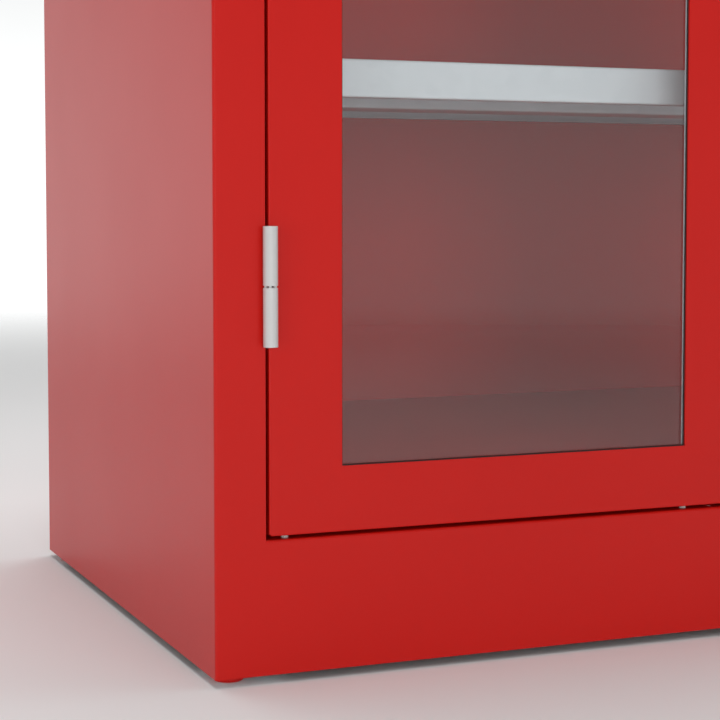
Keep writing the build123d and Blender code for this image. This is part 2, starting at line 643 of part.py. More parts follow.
def lock_screw_places():
    """Where the screws stand on the tabs of the lock case."""
    side = LOCK_CASE_WIDTH / 2 - SCREW_HEAD_DIAMETER
    rise = (LOCK_CASE_HEIGHT + LOCK_CASE_TAB) / 2
    return [(LOCK_X + i * side, DOOR_MIDDLE + k * rise) for i in (-1, 1) for k in (-1, 1)]


def lock_screw(x, z):
    """Short screw through a tab of the lock case."""
    seat = DOOR_SHEET + LOCK_CASE_SHEET
    head = bar(x, z, seat, seat + SCREW_HEAD_HEIGHT, SCREW_HEAD_DIAMETER)
    head = fillet(head.edges().filter_by(GeomType.CIRCLE).sort_by(Axis.Y)[-1], SCREW_HEAD_HEIGHT / 2)
    return head + bar(x, z, DOOR_SHEET, seat, SCREW_DIAMETER)


def handle_rosette():
    """Round plate on the door that the handle turns on."""
    plate = bar(LOCK_X, DOOR_MIDDLE, -ROSETTE_HEIGHT, 0, ROSETTE_DIAMETER)
    plate = fillet(plate.edges().filter_by(GeomType.CIRCLE).sort_by(Axis.Y)[0], ROSETTE_HEIGHT / 3)
    hole = SPINDLE_DIAMETER + 2 * SPINDLE_CLEARANCE
    return plate - bar(LOCK_X, DOOR_MIDDLE, -ROSETTE_HEIGHT - OVERCUT, OVERCUT, hole)


def handle_grip():
    """Wing handle: a hub and a rounded cross bar with the lock plug's bore."""
    hub = bar(LOCK_X, DOOR_MIDDLE, GRIP_BACK, -(ROSETTE_HEIGHT + HANDLE_GAP), HUB_DIAMETER)
    wing_plane = Plane(origin=(LOCK_X, GRIP_BACK, DOOR_MIDDLE), x_dir=(1, 0, 0), z_dir=(0, -1, 0))
    wing = wing_plane * SlotOverall(GRIP_LENGTH, GRIP_WIDTH)
    wing = extrude(wing, amount=HANDLE_REACH + GRIP_BACK, dir=(0, -1, 0))
    wing = fillet(wing.faces().sort_by(Axis.Y)[0].edges(), GRIP_FILLET)
    grip = hub + wing
    grip -= bar(LOCK_X, DOOR_MIDDLE, -HANDLE_REACH - OVERCUT, -HANDLE_REACH + PLUG_DEPTH,
                PLUG_DIAMETER + 2 * PIN_CLEARANCE)
    socket = -(ROSETTE_HEIGHT + HANDLE_GAP)
    return grip - bar(LOCK_X, DOOR_MIDDLE, socket - SPINDLE_SOCKET, socket + OVERCUT, SPINDLE_DIAMETER)


def handle_spindle():
    """Spindle with the cam disc and its two driving pins."""
    start = -(ROSETTE_HEIGHT + HANDLE_GAP + SPINDLE_SOCKET)
    shape = bar(LOCK_X, DOOR_MIDDLE, start, CAM_BACK, SPINDLE_DIAMETER)
    shape += bar(LOCK_X, DOOR_MIDDLE, CAM_FRONT, CAM_BACK, CAM_DIAMETER)
    for angle in (-45, 135):
        x = LOCK_X + CAM_PIN_RADIUS * cos(radians(angle))
        z = DOOR_MIDDLE + CAM_PIN_RADIUS * sin(radians(angle))
        shape += bar(x, z, YOKE_FRONT, CAM_FRONT, CAM_PIN_DIAMETER)
    return shape


def lock_plug():
    """Key plug in the handle with its keyway."""
    plug = bar(LOCK_X, DOOR_MIDDLE, -HANDLE_REACH, -HANDLE_REACH + PLUG_DEPTH, PLUG_DIAMETER)
    keyway = block(LOCK_X - KEYWAY_WIDTH / 2, LOCK_X + KEYWAY_WIDTH / 2, -HANDLE_REACH - OVERCUT,
                   -HANDLE_REACH + KEYWAY_DEPTH, DOOR_MIDDLE - KEYWAY_HEIGHT / 2,
                   DOOR_MIDDLE + KEYWAY_HEIGHT / 2)
    return plug - keyway


def left_bolt(end, inward):
    """Slide bolt of the left door near one of its ends, with a thumb knob."""
    tip = end - inward * ROD_REST_REACH
    bolt = post(-LOCK_X, ROD_DEPTH, tip, end + inward * BOLT_LENGTH, ROD_DIAMETER)
    knob = bar(-LOCK_X, end + inward * BOLT_KNOB_INSET, ROD_DEPTH, ROD_DEPTH + BOLT_KNOB_REACH,
               BOLT_KNOB_DIAMETER)
    return bolt + knob


def door_buffer(x):
    """Rubber stop on the front of the floor panel, behind a door's lower lip."""
    z = DOOR_BOTTOM + DOOR_LIP / 2
    return bar(x, z, DOOR_DEPTH + BUFFER_CLEARANCE, FLOOR_SETBACK, BUFFER_DIAMETER)


def door_glide(x):
    """Low plastic button on the sill under a door."""
    button = post(x, GLIDE_DEPTH, SILL_TOP, SILL_TOP + GLIDE_HEIGHT, GLIDE_DIAMETER)
    return fillet(button.edges().filter_by(GeomType.CIRCLE).sort_by(Axis.Z)[-1], GLIDE_HEIGHT / 2)


def on_both_sides(insets):
    """Places measured in from both sides of the carcass."""
    return [side * (HALF_WIDTH - inset) for side in (-1, 1) for inset in insets]


def build_nodes():
    """Every node of the cabinet by name."""
    feet = foot_places()
    screws = [screw(x, z, GLAZING_BACK) for x, z in glazing_screw_places()]
    frame_barrels = group(left_frame_barrel(z) for z in HINGE_HEIGHTS)
    door_barrels = group(left_door_barrel(z) for z in HINGE_HEIGHTS)
    pins = group(left_hinge_pin(z) for z in HINGE_HEIGHTS)
    balls = group(ball for z in HINGE_HEIGHTS for ball in left_hinge_balls(z))
    front_upright = left_upright(FRONT_UPRIGHT_Y)
    rear_upright = left_upright(REAR_UPRIGHT_Y)
    clips = [left_clip(y) for y in (FRONT_UPRIGHT_Y, REAR_UPRIGHT_Y)]
    nodes = {
        "left_side_panel": left_side_panel(),
        "right_side_panel": mirrored(left_side_panel()),
        "back_panel": back_panel(),
        "top_panel": top_panel(),
        "top_front_rail": top_front_rail(),
        "front_plinth": front_plinth(),
        "floor_panel": floor_panel(),
        "left_door_jamb": left_door_jamb(),
        "right_door_jamb": mirrored(left_door_jamb()),
        "foot_brackets": group(foot_bracket(*place) for place in feet.values()),
        "foot_nuts": group(foot_nut(*place) for place in feet.values()),
        "left_front_upright": front_upright,
        "left_rear_upright": rear_upright,
        "right_front_upright": mirrored(front_upright),
        "right_rear_upright": mirrored(rear_upright),
        "shelf_clips": group(clips + [mirrored(clip) for clip in clips]),
        "shelf_panel": shelf_panel(),
        "shelf_stiffener": shelf_stiffener(),
        "left_frame_hinge_barrels": frame_barrels,
        "right_frame_hinge_barrels": mirrored(frame_barrels),
        "left_hinge_pins": pins,
        "right_hinge_pins": mirrored(pins),
        "left_hinge_balls": balls,
        "right_hinge_balls": mirrored(balls),
        "door_buffers": group(door_buffer(x) for x in on_both_sides(BUFFER_INSETS)),
        "door_glides": group(door_glide(x) for x in on_both_sides(GLIDE_INSETS)),
        "left_door_panel": mirrored(right_door_blank()),
        "left_door_hinge_barrels": door_barrels,
        "left_window_pane": mirrored(window_pane()),
        "left_window_gasket": mirrored(window_gasket()),
        "left_glazing_frame": mirrored(glazing_frame()),
        "left_glazing_screws": group(mirrored(one) for one in screws),
        "left_bolt_guides": group(mirrored(one) for one in guides(BOLT_GUIDE_INSETS)),
        "left_upper_bolt": left_bolt(DOOR_TOP, -1),
        "left_lower_bolt": left_bolt(DOOR_BOTTOM, 1),
        "right_door_panel": right_door_panel(),
        "right_door_hinge_barrels": mirrored(door_barrels),
        "right_window_pane": window_pane(),
        "right_window_gasket": window_gasket(),
        "right_glazing_frame": glazing_frame(),
        "right_glazing_screws": group(screws),
        "right_rod_guides": group(guides(ROD_GUIDE_INSETS)),
        "lock_case": lock_case(),
        "lock_case_screws": group(lock_screw(x, z) for x, z in lock_screw_places()),
        "handle_rosette": handle_rosette(),
        "handle_grip": handle_grip(),
        "handle_spindle": handle_spindle(),
        "lock_plug": lock_plug(),
        "upper_lock_rod": upper_lock_rod(),
        "lower_lock_rod": lower_lock_rod(),
    }
    for name, place in feet.items():
        nodes["foot_" + name] = levelling_foot(*place)
    return nodes


os.makedirs("parts", exist_ok=True)
for node_name, node_shape in build_nodes().items():
    export_step(node_shape.moved(ORIGIN_SHIFT), "parts/" + node_name + ".step")
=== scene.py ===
"""Looks of a two-door steel storage cabinet: finishes, modelled details, studio and camera."""
import logging
import math
from dataclasses import dataclass
from enum import Enum
from typing import Any

import bmesh
import bpy
import numpy as np
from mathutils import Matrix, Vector


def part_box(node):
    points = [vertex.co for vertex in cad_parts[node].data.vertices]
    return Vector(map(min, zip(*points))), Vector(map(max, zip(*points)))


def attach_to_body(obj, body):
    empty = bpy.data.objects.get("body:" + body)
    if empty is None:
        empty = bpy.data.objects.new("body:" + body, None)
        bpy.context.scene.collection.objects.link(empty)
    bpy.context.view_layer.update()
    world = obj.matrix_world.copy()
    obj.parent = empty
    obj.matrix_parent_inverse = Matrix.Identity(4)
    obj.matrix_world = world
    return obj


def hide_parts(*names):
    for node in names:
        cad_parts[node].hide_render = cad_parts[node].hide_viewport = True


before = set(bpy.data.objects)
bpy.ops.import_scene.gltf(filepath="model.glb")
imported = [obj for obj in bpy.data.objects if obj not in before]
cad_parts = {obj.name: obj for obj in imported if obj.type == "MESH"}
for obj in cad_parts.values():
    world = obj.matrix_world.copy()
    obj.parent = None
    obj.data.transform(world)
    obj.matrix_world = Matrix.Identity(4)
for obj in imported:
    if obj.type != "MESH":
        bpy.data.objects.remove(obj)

log = logging.getLogger("cabinet")

MM = 0.001
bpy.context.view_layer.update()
FOOT_CORNERS = ("front_left", "front_right", "rear_left", "rear_right")
FOOT_BASE_HEIGHT = 7 * MM
FINE_DETAIL = 3.0
MERGE_DISTANCE = 0.001 * MM
FLAT_DISTANCE = 0.0001 * MM

Colour = tuple[float, float, float]
Triple = tuple[float, float, float]
Span = tuple[float, float]
Setting = dict[str, Any]


class Finish(Enum):
    """The record's material slots."""

    POWDER_COAT = "red_powder_coat"
    GALVANISED = "galvanised_sheet"
    HINGE = "satin_hinge_steel"
    BRIGHT = "bright_steel"
    ZINC = "zinc_plated_steel"
    PANE = "clear_pane"
    RUBBER = "dark_rubber"
    DARK_PLASTIC = "black_plastic"
    PALE_PLASTIC = "pale_plastic"
    FOOT = "red_foot"


class ScrewLayout(Enum):
    """How a group of screws is spread over its box."""

    CORNERS = "corners"
    SIDES = "sides"


class Wire:
    """One value in a node tree; arithmetic on it adds Math nodes."""

    def __init__(self, bench: "Bench", socket: bpy.types.NodeSocket) -> None:
        """Keeps the bench that owns the socket.

        Args:
            bench: The node tree being built.
            socket: The output that this value comes from.
        """
        self.bench = bench
        self.socket = socket

    def _math(self, operation: str, first: Any, second: Any, clamp: bool = False) -> "Wire":
        """Adds one Math node.

        Args:
            operation: Blender's name of the operation.
            first: The first value, a wire or a number.
            second: The second value, a wire or a number.
            clamp: Whether the result is kept between 0 and 1.

        Returns:
            The node's result.
        """
        settings = {"operation": operation, "use_clamp": clamp}
        return self.bench.node("ShaderNodeMath", settings, {0: first, 1: second})

    def __add__(self, other: Any) -> "Wire":
        """This value plus another."""
        return self._math("ADD", self, other)

    __radd__ = __add__

    def __rsub__(self, other: Any) -> "Wire":
        """A number less this value."""
        return self._math("SUBTRACT", other, self)

    def __mul__(self, other: Any) -> "Wire":
        """This value times another."""
        return self._math("MULTIPLY", self, other)

    __rmul__ = __mul__

    def clamped(self) -> "Wire":
        """This value kept between 0 and 1."""
        return self._math("ADD", self, 0.0, clamp=True)

    def above(self, limit: float) -> "Wire":
        """One where this value is over a limit, and nought elsewhere."""
        return self._math("GREATER_THAN", self, limit)


class Bench:
    """A node tree and the means to add nodes to it."""

    def __init__(self, tree: bpy.types.NodeTree) -> None:
        """Keeps the tree.

        Args:
            tree: The node tree of a material or a world.
        """
        self.tree = tree

    def node(self, kind: str, settings: Setting | None = None, sockets: dict | None = None,
             output: int | str = 0) -> Wire:
        """Adds any node.

        Args:
            kind: The node's type.
            settings: Its properties, set before its sockets.
            sockets: Values or wires by socket name or number.
            output: The output that is returned.

        Returns:
            The chosen output as a wire.
        """
        made = self.tree.nodes.new(kind)
        for key, value in (settings or {}).items():
            setattr(made, key, value)
        for key, value in (sockets or {}).items():
            self.feed(made.inputs[key], value)
        return Wire(self, made.outputs[output])

    def feed(self, socket: bpy.types.NodeSocket, value: Any) -> None:
        """Links a wire to a socket, or sets a plain value on it."""
        if isinstance(value, Wire):
            self.tree.links.new(value.socket, socket)
        elif isinstance(value, tuple) and socket.type == "RGBA":
            socket.default_value = (*value, 1.0)
        else:
            socket.default_value = value

    def ramp(self, value: Wire, start: Any, end: Any, low: Any = 0.0, high: Any = 1.0) -> Wire:
        """A smooth step between two values.

        Args:
            value: What is mapped.
            start: Where the step starts.
            end: Where the step ends.
            low: The result before the start.
            high: The result after the end.

        Returns:
            The mapped value.
        """
        sockets = {"Value": value, "From Min": start, "From Max": end, "To Min": low, "To Max": high}
        return self.node("ShaderNodeMapRange", {"interpolation_type": "SMOOTHSTEP"}, sockets)


class Shader(Bench):
    """A material whose surface is one Principled shader."""

    def __init__(self, name: str) -> None:
        """Makes the material.

        Args:
            name: The material's name.
        """
        self.material = bpy.data.materials.new(name)
        self.material.use_nodes = True
        super().__init__(self.material.node_tree)
        self.surface = self.tree.nodes["Principled BSDF"]

    def set(self, **sockets: Any) -> None:
        """Feeds the Principled shader; underscores in names stand for blanks."""
        for key, value in sockets.items():
            self.feed(self.surface.inputs[key.replace("_", " ")], value)

    def place(self) -> Wire:
        """The Object coordinates, in metres."""
        return self.node("ShaderNodeTexCoord", output="Object")

    def stretched(self, scale: Triple) -> Wire:
        """Object coordinates stretched along the axes.

        Args:
            scale: The factor along each axis.

        Returns:
            The stretched coordinates.
        """
        return self.node("ShaderNodeMapping", None, {"Vector": self.place(), "Scale": scale})

    def noise(self, size: float, detail: float = 2.0, where: Wire | None = None) -> Wire:
        """Cloudy noise.

        Args:
            size: The size of its clouds in metres.
            detail: How many finer layers it has.
            where: The coordinates; Object coordinates if left out.

        Returns:
            The noise, from 0 to 1.
        """
        sockets = {"Vector": where or self.place(), "Scale": 1.0 / size, "Detail": detail}
        return self.node("ShaderNodeTexNoise", None, sockets, "Fac")

    def mix(self, factor: Any, first: Any, second: Any) -> Wire:
        """Blends two colours.

        Args:
            factor: The share of the second colour.
            first: A colour or a wire.
            second: A colour or a wire.

        Returns:
            The blended colour.
        """
        settings = {"data_type": "RGBA"}
        return self.node("ShaderNodeMix", settings, {0: factor, 6: first, 7: second}, 2)

    def bump(self, height: Wire, distance: float) -> Wire:
        """A normal from a height.

        Args:
            height: The height, from 0 to 1.
            distance: The depth of a full step in metres.

        Returns:
            The bent normal.
        """
        return self.node("ShaderNodeBump", None, {"Height": height, "Distance": distance, "Strength": 1.0})


@dataclass(frozen=True)
class PowderCoat:
    """Satin powder coat: a deep even colour with a faint orange peel."""

    colour: Colour = (0.565, 0.0065, 0.0030)
    shade: Colour = (0.525, 0.0055, 0.0025)
    roughness: float = 0.34
    peel_size: float = 1.6 * MM
    peel_depth: float = 0.012 * MM
    cloud_size: float = 160 * MM
    gloss: float = 0.30
    cloud_haze: float = 0.04
    peel_haze: float = 0.02

    def material(self, name: str) -> bpy.types.Material:
        """Builds the finish.

        Args:
            name: The material's name.

        Returns:
            The material.
        """
        shader = Shader(name)
        peel = shader.noise(self.peel_size)
        clouds = shader.noise(self.cloud_size, FINE_DETAIL)
        smoothest = self.roughness - (self.cloud_haze + self.peel_haze) / 2
        shader.set(
            Base_Color=shader.mix(clouds, self.colour, self.shade),
            Roughness=smoothest + self.cloud_haze * clouds + self.peel_haze * peel,
            Normal=shader.bump(peel, self.peel_depth),
            Specular_IOR_Level=self.gloss,
        )
        return shader.material


@dataclass(frozen=True)
class GalvanisedSheet:
    """Hot-dip zinc on sheet steel: soft crystal spangle over faint rolling streaks."""

    light: Colour = (0.72, 0.765, 0.795)
    dark: Colour = (0.66, 0.705, 0.735)
    roughness: float = 0.45
    metallic: float = 0.2
    spangle: float = 11 * MM
    streak: Triple = (6.0, 600.0, 600.0)
    streak_depth: float = 0.004 * MM
    spangle_share: float = 0.45
    streak_share: float = 0.35
    dark_share: float = 0.1
    haze: float = 0.1

    def material(self, name: str) -> bpy.types.Material:
        """Builds the finish.

        Args:
            name: The material's name.

        Returns:
            The material.
        """
        shader = Shader(name)
        sockets = {"Vector": shader.place(), "Scale": 1.0 / self.spangle}
        crystal = shader.node("ShaderNodeTexVoronoi", None, sockets, "Color")
        split = shader.node("ShaderNodeSeparateColor", None, {0: crystal})
        streaks = shader.noise(1.0, 2.0, shader.stretched(self.streak))
        tone = (self.spangle_share * split + self.streak_share * streaks + self.dark_share).clamped()
        shader.set(
            Base_Color=shader.mix(tone, self.light, self.dark),
            Roughness=self.roughness - self.haze / 2 + self.haze * tone,
            Metallic=self.metallic,
            Normal=shader.bump(streaks, self.streak_depth),
        )
        return shader.material


@dataclass(frozen=True)
class TurnedSteel:
    """Bar steel with fine lathe marks across a stated axis."""

    light: Colour
    dark: Colour
    roughness: float
    metallic: float
    marks: Triple = (40.0, 40.0, 2500.0)
    mark_depth: float = 0.003 * MM
    mark_share: float = 0.5
    smear_size: float = 9 * MM
    haze: float = 0.12

    def material(self, name: str) -> bpy.types.Material:
        """Builds the finish.

        Args:
            name: The material's name.

        Returns:
            The material.
        """
        shader = Shader(name)
        marks = shader.noise(1.0, 2.0, shader.stretched(self.marks))
        smears = shader.noise(self.smear_size, FINE_DETAIL)
        tone = self.mark_share * marks + (1.0 - self.mark_share) * smears
        shader.set(
            Base_Color=shader.mix(tone, self.light, self.dark),
            Roughness=self.roughness - self.haze / 2 + self.haze * smears,
            Metallic=self.metallic,
            Normal=shader.bump(marks, self.mark_depth),
        )
        return shader.material


@dataclass(frozen=True)
class ClearPane:
    """Clear safety glazing with a barely grey tint."""

    tint: Colour = (0.93, 0.945, 0.945)
    roughness: float = 0.005
    index: float = 1.58
    haze_size: float = 70 * MM

    def material(self, name: str) -> bpy.types.Material:
        """Builds the finish.

        Args:
            name: The material's name.

        Returns:
            The material.
        """
        shader = Shader(name)
        haze = shader.noise(self.haze_size)
        shader.set(
            Base_Color=self.tint,
            Roughness=self.roughness / 2 + self.roughness * haze,
            IOR=self.index,
            Transmission_Weight=1.0,
        )
        return shader.material


@dataclass(frozen=True)
class Moulding:
    """Moulded plastic or rubber: a fine eroded grain."""

    light: Colour
    dark: Colour
    roughness: float
    grain: float = 0.5 * MM
    depth: float = 0.02 * MM
    cloud_size: float = 25 * MM
    haze: float = 0.1

    def material(self, name: str) -> bpy.types.Material:
        """Builds the finish.

        Args:
            name: The material's name.

        Returns:
            The material.
        """
        shader = Shader(name)
        grain = shader.noise(self.grain, FINE_DETAIL)
        clouds = shader.noise(self.cloud_size)
        shader.set(
            Base_Color=shader.mix(clouds, self.light, self.dark),
            Roughness=self.roughness - self.haze / 2 + self.haze * grain,
            Normal=shader.bump(grain, self.depth),
        )
        return shader.material


@dataclass(frozen=True)
class PaintedFoot:
    """A foot whose round base is coated and whose threaded stem is bare zinc."""

    coat: PowderCoat = PowderCoat()
    zinc: Colour = (0.62, 0.62, 0.60)
    coat_overlap: float = 0.05 * MM
    grain_size: float = 1.2 * MM
    bare_polish: float = 0.04
    haze: float = 0.04

    def material(self, name: str) -> bpy.types.Material:
        """Builds the finish.

        Args:
            name: The material's name.

        Returns:
            The material.
        """
        shader = Shader(name)
        height = shader.node("ShaderNodeSeparateXYZ", None, {0: shader.place()}, "Z")
        bare = height.above(FOOT_BASE_HEIGHT + self.coat_overlap)
        grain = shader.noise(self.grain_size)
        shader.set(
            Base_Color=shader.mix(bare, self.coat.colour, self.zinc),
            Metallic=bare,
            Roughness=self.coat.roughness - self.bare_polish * bare + self.haze * grain,
            Normal=shader.bump(grain, self.coat.peel_depth),
        )
        return shader.material


def mesh_grid(name: str, points: np.ndarray, round_u: bool = True) -> bpy.types.Object:
    """Turns a grid of points, or a stack of such grids, into a mesh object with one quad per grid cell.

    A grid's first index runs along the profile and its second runs round the axis. Where a whole
    row lies on one point, the row is a pole and its cells become triangles once doubles are merged.

    Args:
        name: The object's name.
        points: An array of shape (rows, columns, 3) or (grids, rows, columns, 3), in metres.
        round_u: Whether the last column joins the first.

    Returns:
        The object, linked to the scene and standing at the origin.
    """
    index = np.arange(points.size // 3).reshape(-1, *points.shape[-3:-1])
    right = np.roll(index, -1, axis=2)
    if not round_u:
        index, right = index[:, :, :-1], right[:, :, :-1]
    corners = [index[:, :-1], right[:, :-1], right[:, 1:], index[:, 1:]]
    quads = np.stack(corners, axis=-1).reshape(-1, 4)
    mesh = bpy.data.meshes.new(name)
    mesh.from_pydata(points.reshape(-1, 3).tolist(), [], quads.tolist())
    return finish_mesh(name, mesh)


def finish_mesh(name: str, mesh: bpy.types.Mesh) -> bpy.types.Object:
    """Merges doubled points, turns faces outwards and links the mesh.

    Args:
        name: The object's name.
        mesh: The mesh to finish.

    Returns:
        The new object.
    """
    shape = bmesh.new()
    shape.from_mesh(mesh)
    bmesh.ops.remove_doubles(shape, verts=shape.verts, dist=MERGE_DISTANCE)
    bmesh.ops.dissolve_degenerate(shape, edges=shape.edges, dist=FLAT_DISTANCE)
    bmesh.ops.recalc_face_normals(shape, faces=shape.faces)
    shape.to_mesh(mesh)
    shape.free()
    mesh.shade_smooth()
    piece = bpy.data.objects.new(name, mesh)
    bpy.context.scene.collection.objects.link(piece)
    return piece


def lathe(radius: np.ndarray, along: np.ndarray, columns: int) -> tuple[np.ndarray, ...]:
    """Turns a profile: each profile point sweeps a circle of its radius at its height.

    Args:
        radius: The profile's radii in metres.
        along: The profile's heights along the axis in metres.
        columns: The points round each circle.

    Returns:
        Grids of the first cross coordinate, the second one and the height.
    """
    turn = np.linspace(0.0, 2.0 * math.pi, columns, endpoint=False)
    first = radius[:, None] * np.cos(turn)[None, :]
    second = radius[:, None] * np.sin(turn)[None, :]
    return first, second, np.repeat(along[:, None], columns, axis=1)


def rounded_profile(corners: list[Span], rounding: list[float], steps: int = 5) -> np.ndarray:
    """A profile whose corners are rounded: each corner becomes a quadratic curve between its two runs.

    Args:
        corners: The profile's corner points as (radius, height).
        rounding: How far from each corner its curve starts, at most half a run.
        steps: The points on each curve.

    Returns:
        The profile's points, an array of shape (count, 2).
    """
    points = np.array(corners)
    t = np.linspace(0.0, 1.0, steps)[:, None]
    runs = [points[:1]]
    for before, corner, after, size in zip(points[:-2], points[1:-1], points[2:], rounding[1:-1]):
        into = corner + (before - corner) * min(0.5, size / np.linalg.norm(before - corner))
        out = corner + (after - corner) * min(0.5, size / np.linalg.norm(after - corner))
        runs.append((1 - t) ** 2 * into + 2 * t * (1 - t) * corner + t ** 2 * out)
    runs.append(points[-1:])
    return np.concatenate(runs)


def dress(piece: bpy.types.Object, material: bpy.types.Material) -> None:
    """Gives a piece one material."""
    piece.data.materials.clear()
    piece.data.materials.append(material)


def attach(piece: bpy.types.Object, body: str, finish: Finish, paints: "PaintShop", *nodes: str) -> None:
    """Fixes a new piece to its body, finish and the nodes that it stands for.

    Args:
        piece: The new piece.
        body: The body that it moves with.
        finish: The slot that its finish comes from.
        paints: The shop that holds the materials.
        nodes: The nodes that it replaces.
    """
    dress(piece, paints[finish])
    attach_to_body(piece, body)
    if nodes:
        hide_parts(*nodes)
    log.info("%s rides on %s, %d faces", piece.name, body, len(piece.data.polygons))


class PaintShop:
    """All finishes, made once and handed out by slot."""

    recipes: dict[Finish, Any] = {
        Finish.POWDER_COAT: PowderCoat(),
        Finish.GALVANISED: GalvanisedSheet(),
        Finish.HINGE: TurnedSteel((0.665, 0.665, 0.66), (0.605, 0.605, 0.60), roughness=0.42, metallic=0.25),
        Finish.BRIGHT: TurnedSteel((0.80, 0.80, 0.79), (0.70, 0.70, 0.69), roughness=0.18, metallic=1.0),
        Finish.ZINC: TurnedSteel(
            (0.66, 0.67, 0.67), (0.55, 0.56, 0.57), roughness=0.33, metallic=0.9, marks=(300.0, 300.0, 300.0)
        ),
        Finish.PANE: ClearPane(),
        Finish.RUBBER: Moulding((0.016, 0.015, 0.015), (0.024, 0.023, 0.023), roughness=0.62),
        Finish.DARK_PLASTIC: Moulding((0.014, 0.014, 0.015), (0.021, 0.021, 0.022), roughness=0.38),
        Finish.PALE_PLASTIC: Moulding((0.62, 0.62, 0.60), (0.55, 0.55, 0.54), roughness=0.45),
        Finish.FOOT: PaintedFoot(),
    }
    # The hinge balls wear the satin hinge finish instead of their bright steel slot: its pale, mostly
    # diffuse grey is a painted highlight that shows them bright in the dark gap between the barrels.
    painted_highlight_finishes: dict[str, Finish] = {"left_hinge_balls": Finish.HINGE, "right_hinge_balls": Finish.HINGE}

    def __init__(self) -> None:
        """Mixes every finish."""
        self.materials = {finish: recipe.material(finish.value) for finish, recipe in self.recipes.items()}

    def __getitem__(self, finish: Finish) -> bpy.types.Material:
        """The material of a finish."""
        return self.materials[finish]

    def coat(self) -> None:
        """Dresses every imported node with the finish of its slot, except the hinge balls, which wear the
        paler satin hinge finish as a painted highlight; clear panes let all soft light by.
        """
        by_slot = {finish.value: finish for finish in Finish}
        for name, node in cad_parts.items():
            slot = node.data.materials[0].name.split(".")[0]
            # Listed nodes get another finish than their slot's; for the hinge balls that finish is a painted
            # highlight.
            finish = self.painted_highlight_finishes.get(name, by_slot[slot])
            dress(node, self[finish])
            node.visible_shadow = node.visible_diffuse = finish is not Finish.PANE
            log.info("%s wears %s", name, finish.value)


@dataclass
class LevellingFoot:
    """A low round base on a threaded stem."""

    corner: str
    body: str
    sole_round: float = 1.3 * MM
    rim_round: float = 0.78 * MM
    stem_radius: float = 4 * MM
    thread_depth: float = 0.65 * MM
    thread_pitch: float = 1.25 * MM
    thread_start: float = 0.2 * MM
    least_thread: float = 0.3
    columns: int = 40
    rows_per_pitch: int = 6

    def build(self, paints: PaintShop) -> None:
        """Makes a turned base, then a stem whose radius is a triangle wave that climbs as it turns.

        Args:
            paints: The shop that holds the materials.
        """
        node = f"foot_{self.corner}"
        low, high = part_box(node)
        middle = (low + high) / 2
        radius = (high.x - low.x) / 2
        rim = FOOT_BASE_HEIGHT
        base = rounded_profile(
            [(0.0, 0.0), (radius, 0.0), (radius, rim), (self.stem_radius, rim)],
            [0.0, self.sole_round, self.rim_round, 0.0],
        )
        length = high.z - low.z - rim
        count = round(length / self.thread_pitch) * self.rows_per_pitch
        climb = np.linspace(0.0, length, count)
        stem = np.stack([np.full(count, self.stem_radius), rim + climb], axis=1)
        tip = np.array([(0.0, rim + length)])
        profile = np.concatenate([base, stem, tip])
        x, y, z = lathe(profile[:, 0], profile[:, 1], self.columns)
        turn = np.linspace(0.0, 1.0, self.columns, endpoint=False)[None, :]
        wave = np.abs(2.0 * np.mod((z - rim) / self.thread_pitch - turn, 1.0) - 1.0)
        runout = np.clip(np.minimum(z - rim, rim + length - z) / self.thread_pitch, 0.0, 1.0)
        on_stem = np.clip((z - rim) / self.thread_start, 0.0, 1.0)
        depth = self.thread_depth * wave * np.maximum(runout, self.least_thread) * on_stem
        cut = 1.0 - depth / self.stem_radius
        points = np.stack([middle.x + x * cut, middle.y + y * cut, low.z + z], axis=-1)
        piece = mesh_grid(f"{self.corner}_levelling_foot", points)
        attach(piece, self.body, Finish.FOOT, paints, node)


